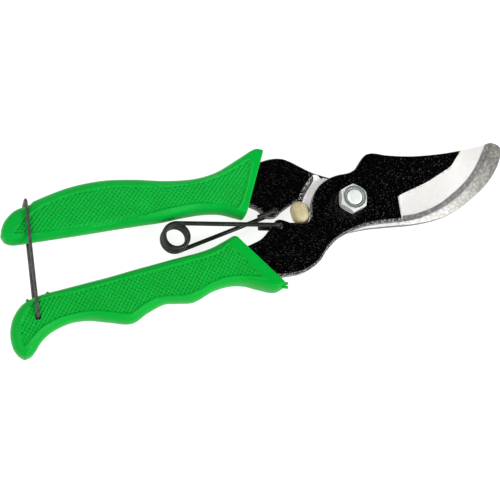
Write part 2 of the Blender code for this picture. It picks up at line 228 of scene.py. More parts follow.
class Finish(Nodes):
    """One material: a surface shader, and the nodes that vary it over the piece."""

    def __init__(self, name, fixed):
        self.material = bpy.data.materials.new(name)
        self.material.use_nodes = True
        super().__init__(self.material.node_tree)
        self.shader = self.tree.nodes["Principled BSDF"]
        for socket, value in fixed.items():
            self.shader.inputs[socket].default_value = value
        point = {0: self.add("ShaderNodeTexCoord", {}, {}, "Object"), "Scale": 1 / MM}
        self.place = self.add("ShaderNodeVectorMath", {"operation": "SCALE"}, point)
        parts = [self.add("ShaderNodeSeparateXYZ", {}, {0: self.place}, i) for i in range(3)]
        self.x, self.y, self.z = parts

    def feed(self, **values):
        """Joins each value to the shader's socket of that name."""
        for name, value in values.items():
            self.join(self.shader.inputs[name.replace("_", " ")], value)

    def stretched(self, x, y, z):
        """The place on the piece with each direction scaled, for a grain that runs one way."""
        sockets = {0: self.place, 1: (x, y, z)}
        return self.add("ShaderNodeVectorMath", {"operation": "MULTIPLY"}, sockets)

    def noise(self, size, detail=2.0, place=None):
        sockets = {"Vector": place or self.place, "Scale": 1 / size, "Detail": detail}
        return self.add("ShaderNodeTexNoise", {}, sockets)

    def cells(self, size):
        sockets = {"Vector": self.place, "Scale": 1 / size}
        return self.add("ShaderNodeTexVoronoi", {"feature": "SMOOTH_F1"}, sockets)

    def blend(self, factor, first, second):
        """A colour between the two."""
        sockets = {0: factor, 6: opaque(first), 7: opaque(second)}
        return self.add("ShaderNodeMix", {"data_type": "RGBA"}, sockets, 2)

    def bump(self, height, depth):
        """Relief of the given depth, in millimetres, from a height of 0 to 1."""
        sockets = {"Strength": 1.0, "Distance": depth * MM, "Height": height}
        self.feed(Normal=self.add("ShaderNodeBump", {}, sockets))


def opaque(colour):
    """A plain colour with its alpha, or a linked one as it is."""
    return colour if isinstance(colour, Signal) else (*colour, 1.0)


def green_plastic(name, colour, deep):
    """Glossy moulded plastic, faintly uneven, with the finest grain of its mould."""
    made = Finish(name, {"Specular IOR Level": 0.07})
    cloud = made.noise(14.0, 3.0).between(0.3, 0.7)
    made.feed(Base_Color=made.blend(cloud, deep, colour))
    made.feed(Roughness=made.noise(3.0, 4.0) * 0.16 + 0.3)
    made.bump(made.noise(0.5, 4.0), 0.03)
    return made.material


def black_paint(name):
    """Thick glossy black paint, hammered into small dents, with grey specks painted on at its edges as
    highlights.
    """
    made = Finish(name, {"Specular IOR Level": 0.23})
    # Grey of the specks painted on as highlights, where the paint's edges would glint
    glint_grey = (0.3, 0.295, 0.28)
    dents = made.cells(0.8)
    fine = made.noise(0.4, 3.0)
    colour = made.blend(fine.between(0.5, 0.8), (0.0002, 0.0002, 0.0003), (0.0026, 0.0024, 0.0024))
    hook_top = made.z.between(HOOK_HIGH - 0.12, HOOK_HIGH - 0.02)
    hook_top = hook_top * (1 - made.z.between(HOOK_HIGH + 0.02, HOOK_HIGH + 0.12))
    edges = made.z.between(MILLED, MILLED + 0.3)
    edges = edges * (1 - made.z.between(BLADE_HIGH - 0.25, BLADE_HIGH - 0.02))
    # Painted highlight: grey specks on edges, walls and the hook's shoulder, none on the top faces
    painted_glint_specks = made.noise(0.55, 2.0).between(0.5, 0.64) * edges * (1 - hook_top)
    made.feed(Base_Color=made.blend(painted_glint_specks, colour, glint_grey))
    made.feed(Roughness=made.noise(2.5, 2.0) * 0.12 + 0.09)
    made.bump(dents + fine * 0.2, 0.26)
    return made.material


def ground_steel(name):
    """The ground face's unpainted steel, with fine grinding lines and a honed bevel at the edge painted
    darker as shade.
    """
    made = Finish(name, {"Specular IOR Level": 0.3})
    grey, rust, patch_dark = (0.24, 0.23, 0.21), (0.3, 0.2, 0.09), (0.03, 0.028, 0.026)
    lines = made.noise(1.0, 4.0, made.stretched(0.35, 3.2, 1.0))
    smudge = made.noise(4.0, 4.0).between(0.55, 0.75)
    colour = made.blend(lines, (0.42, 0.412, 0.398), (0.56, 0.552, 0.538))
    colour = made.blend(smudge * 0.35, colour, grey)
    stain = made.noise(1.8, 4.0).between(0.5, 0.62)
    stain = stain * made.z.between(BLADE_HIGH - 0.3, BLADE_HIGH - 0.05)
    colour = made.blend(stain * 0.7, colour, rust)
    # The honed bevel takes darker greys: painted shade
    honed = 1 - made.z.between(BEVEL_TOP + 0.02, BEVEL_TOP + 0.12)
    streak = made.noise(1.3, 3.0).between(0.4, 0.7)
    # Streaked darker greys of the bevel, painted shade
    darker_tone_and_bevel_shade = made.blend(streak, (0.08, 0.078, 0.08), (0.17, 0.165, 0.165))
    # Darker patches on the bevel, towards its lowest part by the cutting edge
    near_edge_patches = made.noise(2.0, 3.0).between(0.47, 0.57)
    near_edge_patches = near_edge_patches * (1 - made.z.between(BLADE_LOW + 0.35, BLADE_LOW + 0.7))
    darker_tone_and_bevel_shade = made.blend(near_edge_patches, darker_tone_and_bevel_shade, patch_dark)
    made.feed(Base_Color=made.blend(honed, colour, darker_tone_and_bevel_shade), Roughness=lines * 0.2 + 0.34)
    made.feed(Metallic=0.25 - honed * 0.15)
    made.bump(lines, 0.02)
    return made.material


def milled_steel(name):
    """The hook's milled face: whitened at the pivot as a painted reflection, mottled and darker along the
    jaw to the tip, paint run over its rim.
    """
    made = Finish(name, {"Metallic": 0.05})
    lines = made.noise(1.2, 3.0, made.stretched(3.0, 0.6, 1.0))
    mottle = made.noise(1.1, 5.0).between(0.36, 0.68)
    # Near-white steel at the pivot: a painted reflection of the light
    bright = made.blend(lines, (0.9, 0.89, 0.87), (0.97, 0.965, 0.95))
    pale = made.blend(mottle, (0.62, 0.6, 0.56), (0.88, 0.87, 0.85))
    dark = made.blend(mottle, (0.12, 0.118, 0.1), (0.24, 0.235, 0.21))
    # Darker along the jaw towards its tip
    darker_to_tip = made.blend(made.x.between(26.0, 70.0), pale, dark)
    colour = made.blend(made.x.between(4.0, 18.0), bright, darker_to_tip)
    rim = made.x * RIM_ACROSS[0] + made.y * RIM_ACROSS[1] - RIM_DISTANCE
    run_over = (rim + made.noise(1.3, 3.0) * 3.2).between(0.75, 0.95)
    run_over = run_over * (1 - made.x.between(0.0, 3.0))
    colour = made.blend(run_over, colour, (0.004, 0.004, 0.004))
    made.feed(Base_Color=colour, Roughness=mottle * 0.15 + 0.38)
    made.bump(lines * 0.5 + mottle * 0.5, 0.03)
    return made.material


def zinc_plate(name, colour, roughness):
    """Bright plating, clouded and slightly uneven."""
    made = Finish(name, {"Metallic": 0.35})
    cloud = made.noise(1.5, 3.0).between(0.3, 0.75)
    darker_tone_and_bevel_shade = tuple(part * 0.86 for part in colour)
    made.feed(Base_Color=made.blend(cloud, darker_tone_and_bevel_shade, colour), Roughness=cloud * -0.1 + roughness)
    made.bump(made.noise(0.7, 3.0), 0.012)
    return made.material


def black_wire(name, colour, pale):
    """Oiled black spring wire, rubbed paler in patches."""
    made = Finish(name, {"Specular IOR Level": 0.3})
    rubbed = made.noise(2.6, 4.0).between(0.45, 0.75)
    made.feed(Base_Color=made.blend(rubbed, colour, pale), Roughness=rubbed * 0.15 + 0.34)
    made.bump(made.noise(0.35, 3.0), 0.03)
    return made.material


def cream_rubber(name):
    """Aged buff rubber, with faint dark stains."""
    made = Finish(name, {"Specular IOR Level": 0.35})
    stain = made.noise(2.0, 4.0).between(0.35, 0.75)
    made.feed(Base_Color=made.blend(stain, (0.42, 0.36, 0.2), (0.52, 0.46, 0.28)))
    made.feed(Roughness=stain * 0.15 + 0.4)
    made.bump(made.noise(0.8, 4.0), 0.05)
    return made.material


# ---------------------------------------------------------------- shapes


def curve_through(points, steps):
    """An open smooth curve through the points, with the given number of steps between each two."""
    points = [Vector(point) for point in points]
    before = points[0] * 2 - points[1]
    after = points[-1] * 2 - points[-2]
    held = [before, *points, after]
    made = []
    for i in range(1, len(held) - 2):
        start, end = held[i], held[i + 1]
        leave = (end - held[i - 1]) / 2
        arrive = (held[i + 2] - start) / 2
        reach = (end - start).length
        leave *= min(1.0, reach / max(leave.length, 1e-9))
        arrive *= min(1.0, reach / max(arrive.length, 1e-9))
        for step in range(steps):
            t = step / steps
            a = 2 * t**3 - 3 * t**2 + 1
            b = t**3 - 2 * t**2 + t
            made.append(start * a + leave * b + end * (1 - a) + arrive * (t**3 - t**2))
    made.append(points[-1])
    return made


def outline(stretches, steps=12):
    """A closed outline of smooth stretches, each starting at a corner where the last one ended."""
    made = []
    for i, stretch in enumerate(stretches):
        follows = stretches[(i + 1) % len(stretches)][0]
        made += curve_through([*stretch, follows], steps)[:-1]
    return np.array(made)


def arc(centre, radius, start, end, count):
    """Points on an arc between two angles in degrees."""
    angles = [math.radians(start + (end - start) * i / (count - 1)) for i in range(count)]
    return [(centre[0] + radius * math.cos(a), centre[1] + radius * math.sin(a)) for a in angles]


def unit(rows):
    """Each row as a direction of length 1."""
    return rows / np.maximum(np.linalg.norm(rows, axis=1, keepdims=True), 1e-9)


def outward(shape):
    """The outward direction at each point, longer at a corner to keep a moved side straight."""
    before = unit(shape - np.roll(shape, 1, axis=0))
    after = unit(np.roll(shape, -1, axis=0) - shape)
    both = np.stack([before[:, 1] + after[:, 1], -before[:, 0] - after[:, 0]], axis=1)
    return both / np.maximum((both**2).sum(axis=1, keepdims=True) / 2, 0.5)


def distance_to(points, loop):
    """How far each point is from the closed loop, positive inside it."""
    near = np.full(len(points), 1e9)
    inside = np.zeros(len(points), bool)
    for start, end in zip(loop, np.roll(loop, -1, axis=0)):
        run = end - start
        share = np.clip(((points - start) @ run) / max(run @ run, 1e-12), 0, 1)
        near = np.minimum(near, np.linalg.norm(points - start - share[:, None] * run, axis=1))
        if start[1] != end[1]:
            crosses = (points[:, 1] < start[1]) != (points[:, 1] < end[1])
            at = start[0] + (points[:, 1] - start[1]) * run[0] / run[1]
            inside ^= crosses & (points[:, 0] < at)
    return np.where(inside, near, -near)


def inset(shape, distances):
    """The outline moved inward, with the loop that a sharp corner would leave drawn to a point."""
    moved = shape - outward(shape) * distances[:, None]
    good = distance_to(moved, shape) > distances - 0.03
    kept = np.flatnonzero(good)
    if len(kept) == 0 or good.all():
        return moved
    count = len(shape)
    for i in np.flatnonzero(~good):
        apart = np.abs(kept - i)
        moved[i] = moved[kept[np.argmin(np.minimum(apart, count - apart))]]
    return moved


def finish_mesh(name, mesh, materials, crease):
    """An object from the mesh, which is in millimetres, with smooth faces between its creases."""
    bmesh.ops.remove_doubles(mesh, verts=mesh.verts, dist=0.002)
    bmesh.ops.scale(mesh, vec=(MM, MM, MM), verts=mesh.verts)
    bmesh.ops.recalc_face_normals(mesh, faces=mesh.faces)
    data = bpy.data.meshes.new(name)
    mesh.to_mesh(data)
    mesh.free()
    item = bpy.data.objects.new(name, data)
    bpy.context.scene.collection.objects.link(item)
    for made_of in materials:
        data.materials.append(made_of)
    smooth(item, crease)
    return item


def smooth(item, crease):
    """Shades faces as one where they meet at less than the crease angle, in degrees."""
    for face in item.data.polygons:
        face.use_smooth = True
    item.data.set_sharp_from_angle(angle=math.radians(crease))
    if not item.modifiers:
        weighted = item.modifiers.new("even_shading", "WEIGHTED_NORMAL")
        weighted.keep_sharp = True


def stack(name, rings, materials=(), crease=CREASE):
    """A solid through rings of equally many points, closed by its first and last ring."""
    mesh = bmesh.new()
    rows = [[mesh.verts.new([float(part) for part in point]) for point in ring] for ring in rings]
    count = len(rows[0])
    for lower, upper in zip(rows, rows[1:]):
        for i in range(count):
            j = (i + 1) % count
            mesh.faces.new((lower[i], lower[j], upper[j], upper[i]))
    mesh.faces.new(rows[0][::-1])
    mesh.faces.new(rows[-1])
    return finish_mesh(name, mesh, materials, crease)


def at_height(shape, z):
    return [(x, y, z) for x, y in shape]


def circle(radius, z, sides, centre=(0.0, 0.0)):
    return at_height(arc(centre, radius, 0, 360 - 360 / sides, sides), z)


def slab(name, shape, low, high, ease_low, ease_high, materials):
    """A plate with rounded edges. Each ease is a radius, or one for each point of the outline."""
    steps = 5
    rings = []
    for level, way, ease in ((low, 1, ease_low), (high, -1, ease_high)):
        eased = np.broadcast_to(ease, len(shape)).astype(float)
        for i in range(steps + 1)[::way]:
            a = math.radians(90 * i / steps)
            flat = inset(shape, eased * (1 - math.sin(a))) if i < steps else shape
            inward = way * eased * (1 - math.cos(a))
            rings.append([(x, y, level + rise) for (x, y), rise in zip(flat, inward)])
    return stack(name, rings, materials)


def carve(item, cutter, operation="DIFFERENCE", crease=CREASE):
    """Cuts the item with the cutter, or keeps what they share, for good."""
    item.modifiers.clear()
    cutter.modifiers.clear()
    trim = item.modifiers.new("trim", "BOOLEAN")
    trim.operation = operation
    trim.solver = "EXACT"
    trim.object = cutter
    graph = bpy.context.evaluated_depsgraph_get()
    made = bpy.data.meshes.new_from_object(item.evaluated_get(graph))
    item.modifiers.clear()
    item.data = made
    bpy.data.objects.remove(cutter)
    smooth(item, crease)


def drill(item, centre, radius, low, high, sides=48):
    """A round hole along Z whose mouth is slightly broken."""
    wide = radius + HOLE_BREAK
    profile = [(wide, low - 1), (wide, low), (radius, low + HOLE_BREAK)]
    profile += [(radius, high - HOLE_BREAK), (wide, high), (wide, high + 1)]
    carve(item, stack("drill", [circle(size, z, sides, centre) for size, z in profile]))


def use_second_material(item, chosen):
    """Gives the second material to each face that the test picks by its middle and its direction."""
    for face in item.data.polygons:
        if chosen(face.center / MM, face.normal):
            face.material_index = 1


def tube(name, path, radius, materials, sides=24):
    """A round wire along the path, its ends slightly rounded. It has one radius or one at each point."""
    tip = [(0.0, 1.0), (0.22, 0.83), (0.3, 0.55)]
    path = [Vector(point) for point in path]
    radii = np.broadcast_to(radius, len(path)).tolist()
    tangents = []
    for i, point in enumerate(path):
        before = path[max(i - 1, 0)]
        after = path[min(i + 1, len(path) - 1)]
        tangents.append((after - before).normalized())
    side = tangents[0].orthogonal().normalized()
    rings = []
    last = len(path) - 1
    for i, (point, tangent, thick) in enumerate(zip(path, tangents, radii)):
        side = (side - tangent * side.dot(tangent)).normalized()
        other = tangent.cross(side)
        ends = tip[:1]
        if i == 0:
            ends = [(-along, share) for along, share in tip[::-1]]
        elif i == last:
            ends = tip
        for along, share in ends:
            ring = []
            for j in range(sides):
                a = 2 * math.pi * j / sides
                spoke = side * math.cos(a) + other * math.sin(a)
                ring.append(point + tangent * along * thick + spoke * thick * share)
            rings.append(ring)
    return stack(name, rings, materials, 50.0)


def rounded(corners, radius, steps=10):
    """The path through the corners, with each inner corner turned into an arc."""
    corners = [Vector(corner) for corner in corners]
    made = [corners[0]]
    for before, corner, after in zip(corners, corners[1:], corners[2:]):
        arriving = (corner - before).normalized()
        leaving = (after - corner).normalized()
        turn = arriving.angle(leaving)
        reach = radius * math.tan(turn / 2)
        centre = corner + (leaving - arriving).normalized() * radius / math.cos(turn / 2)
        start = corner - arriving * reach
        spoke = start - centre
        for i in range(steps + 1):
            a = turn * i / steps
            made.append(centre + spoke * math.cos(a) + arriving * radius * math.sin(a))
    made.append(corners[-1])
    return made


def show(item, node, body):
    """The piece stands for the node and moves with the body."""
    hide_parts(node)
    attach(item, body)


# ---------------------------------------------------------------- levers


def blade_outline():
    """From the tip: back, pivot shoulder, bumper notch, spring lug, tang, heel and cutting edge."""
    notch = arc((BUMPER_X, BUMPER_LOWER_Y), NOTCH_RADIUS, -118, -28, 6)
    return outline(
        [
            [(65.0, 12.2), (60.0, 11.4), (52.0, 10.9), (42.0, 11.2), (30.0, 12.6), (20.0, 15.0)]
            + [(14.5, 17.0), (11.2, 16.9), (8.4, 14.9), (5.6, 12.3), (2.5, 11.2), (-2.0, 11.2)],
            [(-5.0, 10.9), (-9.6, 9.2), (-13.2, 6.2), (-15.6, 2.4), (-16.7, -1.2)],
            [notch[-1], *notch[-2::-1]],
            [(-26.2, -3.4), (-29.0, -1.7), (-31.2, -1.3), (-33.2, -2.7), (-35.4, -4.7), (-39.4, -7.4)],
            [(-46.0, -9.0), (-60.0, -11.2), (-70.0, -12.0), (-73.0, -15.0)],
            [(-70.0, -17.8), (-60.0, -18.2), (-44.0, -21.2)],
            [(-34.5, -23.2), (-27.5, -23.5), (-22.5, -22.3), (-18.4, -20.2), (-15.0, -17.1), (-9.6, -13.6)]
            + [(-4.0, -11.8), (3.0, -10.7), (10.0, -10.9)],
            [(18.3, -11.8), (26.0, -12.0), (36.0, -10.1), (44.0, -7.0), (51.0, -3.0), (57.5, 2.4)]
            + [(62.2, 6.8), (64.8, 10.6)],
        ]
    )


def hook_outline():
    """From the pivot: the jaw's outer and inner edges, the top, tang, spring lug and bumper notch."""
    notch = arc((BUMPER_X, BUMPER_UPPER_Y), NOTCH_RADIUS, 28, 128, 6)
    return outline(
        [
            [(-5.0, -11.3), (4.0, -11.3), (14.0, -12.4), (24.0, -13.6), (34.0, -13.6), (43.0, -11.8)]
            + [(51.5, -8.2), (59.5, -3.5), (65.3, 1.9), (68.6, 6.6), (69.3, 9.0), (68.8, 10.4)]
            + [(67.6, 11.5)],
            [(65.8, 12.4), (63.9, 10.9), (60.0, 6.6), (54.0, 1.8), (46.0, -2.6), (36.0, -5.4)]
            + [(26.0, -5.6), (17.0, -3.0), (11.6, 2.0), (9.4, 6.6), (4.0, 10.0)],
            [(-4.4, 11.3), (-11.3, 15.2), (-15.5, 18.6), (-18.6, 21.2), (-22.0, 23.1), (-26.4, 23.7)],
            [(-32.0, 23.2), (-46.0, 19.0), (-60.0, 18.2), (-70.0, 20.0), (-73.0, 18.0)],
            [(-70.0, 14.0), (-60.0, 12.2), (-46.0, 10.2)],
            [(-39.2, 7.4), (-37.0, 5.8), (-35.6, 4.4), (-35.0, 2.9), (-33.6, 1.4), (-31.6, 0.8)]
            + [(-29.6, 0.9), (-27.4, 2.2)],
            [*notch[::-1]],
            [(-16.4, 1.6), (-12.0, -6.0)],
        ]
    )


def grind_cutter():
    """The steel ground off the blade's upper face: a wide hollow face, then a steeper one."""
    shoulder = [(19.2, -2.2), (21.4, -1.5), (27.1, -0.3), (33.0, 1.1), (39.3, 3.3), (44.6, 5.4)]
    shoulder += [(47.6, 8.0), (50.0, 10.4), (51.2, 13.0)]
    meet = [(18.2, -9.6), (20.8, -10.0), (25.2, -10.2), (30.9, -9.6), (37.0, -8.0), (43.6, -5.0)]
    meet += [(49.8, -1.5), (56.0, 3.6), (64.0, 12.8)]
    edge = [(17.8, -12.8), (20.8, -13.0), (25.2, -12.9), (31.2, -12.2), (38.0, -10.2), (45.5, -7.0)]
    edge += [(52.5, -2.8), (60.3, 4.0), (68.0, 12.8)]
    thick = BLADE_HIGH - BLADE_LOW
    top = BLADE_HIGH + 1.0
    face = BLADE_HIGH + 0.01
    lines = [curve_through(row, 12) for row in (shoulder, meet, edge)]
    rings = []
    for i, (high, middle, low) in enumerate(zip(*lines)):
        share = min(1.0, i / GRIND_RAMP)
        depth = share * (2 - share) * thick
        deep = depth * (1 - GRIND_HEIGHT / thick)
        deepest = depth * (1 - EDGE_HEIGHT / thick)
        hollow = high.lerp(middle, 0.5)
        rings.append(
            [
                (high.x, high.y, top),
                (high.x, high.y, face),
                (hollow.x, hollow.y, face - deep * HOLLOW_SHARE),
                (middle.x, middle.y, face - deep),
                (low.x, low.y, face - deepest),
                (low.x, low.y, top),
            ]
        )
    return stack("grind", rings)


def make_blade_lever(paint, steel):
    """The blade's lever, its upper edge rounded more along the side away from the hook's grip."""
    shape = blade_outline()
    facing = unit(outward(shape))
    ease = 0.45 + 0.75 * np.clip(-facing[:, 1] * 1.4 + 0.1, 0, 1)
    lever = slab("blade_lever_painted", shape, BLADE_LOW, BLADE_HIGH, 0.4, ease, [paint, steel])
    drill(lever, BLADE_HOLE, SPRING_HOLE, BLADE_LOW, BLADE_HIGH)
    carve(lever, grind_cutter(), crease=12.0)

    def ground(middle, facing):
        sloping = facing.z > 0.2 and facing.y < 0.1
        return sloping and middle.x > GRIND_HEEL and middle.z < BLADE_HIGH - 0.01

    use_second_material(lever, ground)
    show(lever, "blade_lever", "blade_side")


def make_hook_lever(paint, steel):
    """The hook's lever, with a recess milled in its upper face for the blade to lie in."""
    shape = hook_outline()
    lever = slab("hook_lever_painted", shape, HOOK_LOW, HOOK_HIGH, 0.5, 0.8, [paint, steel])
    recess = outline(
        [
            [(-7.0, 22.0), (-10.6, 15.4), (-11.4, 11.9), (-14.0, 9.3), (-16.8, 6.4)],
            [(-19.4, 2.6), (-19.4, -20.0)],
            [(90.0, -20.0), (90.0, 0.0)],
            [(90.0, 22.0), (40.0, 22.0)],
        ],
        6,
    )
    rings = []
    for back, up in RECESS_SHOULDER:
        grown = recess + outward(recess) * back
        rings.append(at_height(grown, MILLED + up * (HOOK_HIGH - MILLED)))
    carve(lever, stack("recess", rings))
    drill(lever, HOOK_HOLE, SPRING_HOLE, HOOK_LOW, HOOK_HIGH)

    def milled(middle, facing):
        return facing.z > 0.99 and abs(middle.z - MILLED) < 0.02

    use_second_material(lever, milled)
    show(lever, "hook_lever", "hook_side")


# ---------------------------------------------------------------- grips


def even_pairs(one, other):
    """Matching points on two curves and how far along each pair is. They are closer at the ends."""
    one = np.array(curve_through(one, 24))
    other = np.array(curve_through(other, 24))
    middle = (one + other) / 2
    run = np.concatenate([[0.0], np.cumsum(np.linalg.norm(np.diff(middle, axis=0), axis=1))])
    fillet = [GRIP_FILLET * (1 - math.cos(math.radians(a))) for a in range(0, 90, 15)]
    near_end = np.linspace(run[-1] - GRIP_END_RUN, run[-1], GRIP_END_STEPS)
    at = np.concatenate([fillet, np.arange(GRIP_FILLET, near_end[0], GRIP_STEP), near_end])
    pairs = []
    for side in (one, other):
        pairs.append(np.stack([np.interp(at, run, side[:, k]) for k in range(2)], axis=1))
    return pairs[0], pairs[1], at


def section_angles():
    """Round one section: each point's share of the way across, and its angle on the rounded side."""
    shares = []
    angles = []
    for start, side in ((90, 1), (270, -1)):
        for i in range(GRIP_FLAT_POINTS):
            shares.append(side * (1 - 2 * i / (GRIP_FLAT_POINTS - 1)))
            angles.append(start)
        for i in range(1, GRIP_ROUND_POINTS):
            shares.append(-side)
            angles.append(start + 180 * i / GRIP_ROUND_POINTS)
    return np.array(shares), np.radians(angles)


def smoothstep(value, low, high):
    """0 at the low value, 1 at the high one, and smooth between them."""
    t = np.clip((value - low) / (high - low), 0, 1)
    return t * t * (3 - 2 * t)


def knurl(x, y, across, along):
    """Rows of small pits between crossing ridges, from 0 on a ridge to -1 in a pit."""
    one = 0.5 + 0.5 * np.cos(2 * math.pi * (across[0] * x + across[1] * y))
    other = 0.5 + 0.5 * np.cos(2 * math.pi * (along[0] * x + along[1] * y))
    return -0.62 * one * other - 0.26 * one - 0.12 * other


def panel_relief(x, y, border, across, along):
    """Height of the knurled panel and of the fine raised line round it, in millimetres."""
    depth = distance_to(np.stack([x, y], axis=1), border)
    line = LINE_HEIGHT * np.exp(-((depth / LINE_WIDTH) ** 2))
    groove = -GROOVE_DEPTH * np.exp(-(((depth - GROOVE_INSET) / GROOVE_WIDTH) ** 2))
    sunk = smoothstep(depth, 0.3, 0.9)
    return line + groove + sunk * KNURL_DEPTH * knurl(x, y, across, along)


def grip_section(a, b, at, share, shares, angles):
    """A section between two points of the grip's edges. It is at this distance, and this share of the
    grip's length, from the front.
    """
    half = np.linalg.norm(a - b) / 2
    across_way = (a - b) / (2 * half)
    middle = (a + b) / 2
    most = GRIP_ROUND_FRONT + (GRIP_ROUND - GRIP_ROUND_FRONT) * min(1.0, share / GRIP_FRONT_SHARE)
    thick = GRIP_THICK_FRONT + (GRIP_THICK_REAR - GRIP_THICK_FRONT) * share
    if half < most:
        thick *= math.sqrt(1 - (1 - half / most) ** 2)
    pull = 0.0
    if at < GRIP_FILLET:
        pull = GRIP_FILLET - math.sqrt(GRIP_FILLET**2 - (GRIP_FILLET - at) ** 2)
    turn = min(most, half)
    reach = shares * (half - turn) + (turn - pull) * np.cos(angles)
    height = (thick / 2 - pull) * np.sin(angles)
    flat = middle + across_way * reach[:, None]
    return np.column_stack([flat, height])


def end_cap(rings):
    """Shrinking copies of the last section, which close the grip's end."""
    end = rings[-1]
    heart = end.mean(axis=0)
    further_back = rings[-8].mean(axis=0)
    away = unit((heart - further_back)[None])[0]
    made = []
    for degrees in (25, 50, 70, 85):
        a = math.radians(degrees)
        made.append(heart + (end - heart) * math.cos(a) + away * GRIP_END_CAP * math.sin(a))
    return made


def make_grip(name, upper, lower, border, across, along, plastic):
    """A rounded grip with a knurled panel on either face, from its cut front to its closed end."""
    one, other, run = even_pairs(upper, lower)
    shares, angles = section_angles()
    rings = []
    for a, b, at in zip(one, other, run):
        rings.append(grip_section(a, b, at, at / run[-1], shares, angles))
    rings = np.array(rings)
    points = rings.reshape(-1, 3)
    faces = np.abs(np.sin(np.tile(angles, len(run)))) > 0.8
    border = np.array(outline([border], 6))
    relief = panel_relief(points[faces, 0], points[faces, 1], border, across, along)
    points[faces, 2] += np.sign(points[faces, 2]) * relief
    points[:, 2] += MIDDLE
    rings = list(points.reshape(rings.shape))
    return stack(name, rings + end_cap(rings), [plastic], 40.0)


def make_upper_grip(plastic):
    upper = [(-28.6, 27.3), (-31.8, 28.4), (-39.0, 25.9), (-49.0, 22.4), (-58.0, 21.6)]
    upper += [(-69.0, 23.1), (-81.0, 26.1), (-93.0, 28.1), (-106.0, 28.0), (-119.6, 25.5)]
    upper += [(-121.2, 24.5), (-127.2, 23.4), (-131.4, 20.6), (-133.5, 17.6), (-134.3, 15.3)]
    lower = [(-42.9, 2.4), (-46.0, 3.9), (-51.5, 6.3), (-58.5, 7.6), (-66.0, 7.9), (-74.0, 7.8)]
    lower += [(-83.0, 8.3), (-93.0, 8.8), (-105.0, 9.3), (-116.0, 9.9), (-120.0, 10.1)]
    lower += [(-127.0, 10.5), (-131.0, 10.9), (-133.3, 12.2), (-134.2, 14.5)]
    border = [(-130.7, 14.2), (-126.9, 17.7), (-122.5, 20.2), (-116.3, 22.8), (-110.3, 24.0)]
    border += [(-102.5, 24.9), (-94.8, 24.9), (-87.3, 24.1), (-76.3, 21.5), (-66.9, 19.9)]
    border += [(-57.1, 19.3), (-48.9, 20.2), (-42.3, 22.0), (-35.0, 23.3), (-42.3, 8.9)]
    border += [(-45.5, 5.7), (-47.8, 6.8), (-59.5, 10.5), (-73.2, 11.0), (-94.8, 9.8)]
    border += [(-106.0, 10.8), (-117.1, 11.9), (-126.1, 13.0)]
    across, along = (0.51, -0.57), (0.575, 0.5)
    grip = make_grip("upper_grip_moulded", upper, lower, border, across, along, plastic)
    show(grip, "upper_grip", "hook_side")


def make_lower_grip(plastic):
    upper = [(-49.3, -3.5), (-53.5, -4.8), (-58.5, -6.2), (-64.0, -6.9), (-70.0, -7.2)]
    upper += [(-76.0, -7.4), (-82.0, -7.7), (-88.0, -8.0), (-94.0, -8.4), (-100.0, -8.8)]
    upper += [(-108.0, -9.1), (-117.0, -9.5), (-126.0, -10.0), (-132.5, -11.8), (-137.0, -16.0)]
    upper += [(-139.3, -21.3), (-139.6, -26.6), (-138.4, -29.9), (-136.8, -31.4)]
    lower = [(-34.4, -27.0), (-38.5, -28.0), (-43.5, -25.8), (-49.0, -23.1), (-55.0, -21.9)]
    lower += [(-62.0, -22.5), (-70.0, -24.9), (-76.0, -24.0), (-81.0, -23.2), (-88.0, -25.0)]
    lower += [(-95.0, -27.6), (-103.0, -25.2), (-110.0, -22.9), (-117.0, -22.4), (-124.0, -24.0)]
    lower += [(-128.7, -26.6), (-131.9, -29.8), (-133.9, -31.4), (-136.0, -31.8)]
    border = [(-52.0, -6.9), (-56.0, -8.5), (-63.0, -9.7), (-84.7, -10.6), (-111.6, -11.8)]
    border += [(-127.3, -11.9), (-131.6, -14.3), (-134.5, -17.5), (-136.6, -23.4), (-135.8, -28.1)]
    border += [(-132.4, -25.5), (-127.2, -22.3), (-121.3, -20.7), (-113.8, -20.3), (-108.3, -21.0)]
    border += [(-103.1, -22.5), (-95.0, -25.0), (-91.1, -23.2), (-86.9, -21.8), (-81.8, -21.4)]
    border += [(-72.5, -22.7), (-62.4, -20.3), (-57.9, -19.5), (-52.1, -20.0), (-46.5, -21.5)]
    border += [(-42.5, -22.8)]
    across, along = (0.58, -0.51), (0.51, 0.57)
    grip = make_grip("lower_grip_moulded", upper, lower, border[::-1], across, along, plastic)
    half = GRIP_THICK_FRONT / 2
    drill(grip, CATCH_HOLE, CATCH_HOLE_RADIUS, MIDDLE - half, MIDDLE + half, 32)
    show(grip, "lower_grip", "blade_side")


def make_flash(plastic):
    """Shreds of plastic left on the lower grip where the halves of its mould met."""
    shreds = [
        (4.0, [(-36.4, -26.3), (-35.2, -26.5), (-34.3, -26.4)]),
        (3.4, [(-36.2, -27.2), (-35.2, -27.6), (-34.5, -27.9)]),
        (4.2, [(-37.7, -24.7), (-36.9, -24.3), (-36.2, -24.3)]),
        (2.2, [(-130.4, -12.4), (-130.6, -11.4), (-130.9, -10.9)]),
        (2.0, [(-122.9, -11.0), (-122.9, -10.2), (-123.0, -9.7)]),
    ]
    for i, (height, shred) in enumerate(shreds):
        path = curve_through([(x, y, MIDDLE + height) for x, y in shred], 6)
        item = tube(f"mould_flash_{i + 1}", path, FLASH_RADIUS, [plastic], 16)
        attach(item, "blade_side")


# ---------------------------------------------------------------- pivot, bumper, spring and catch


def turned(name, profile, materials=(), sides=72):
    """A solid turned about Z from pairs of radius and height."""
    return stack(name, [circle(radius, z, sides) for radius, z in profile], materials, 40.0)


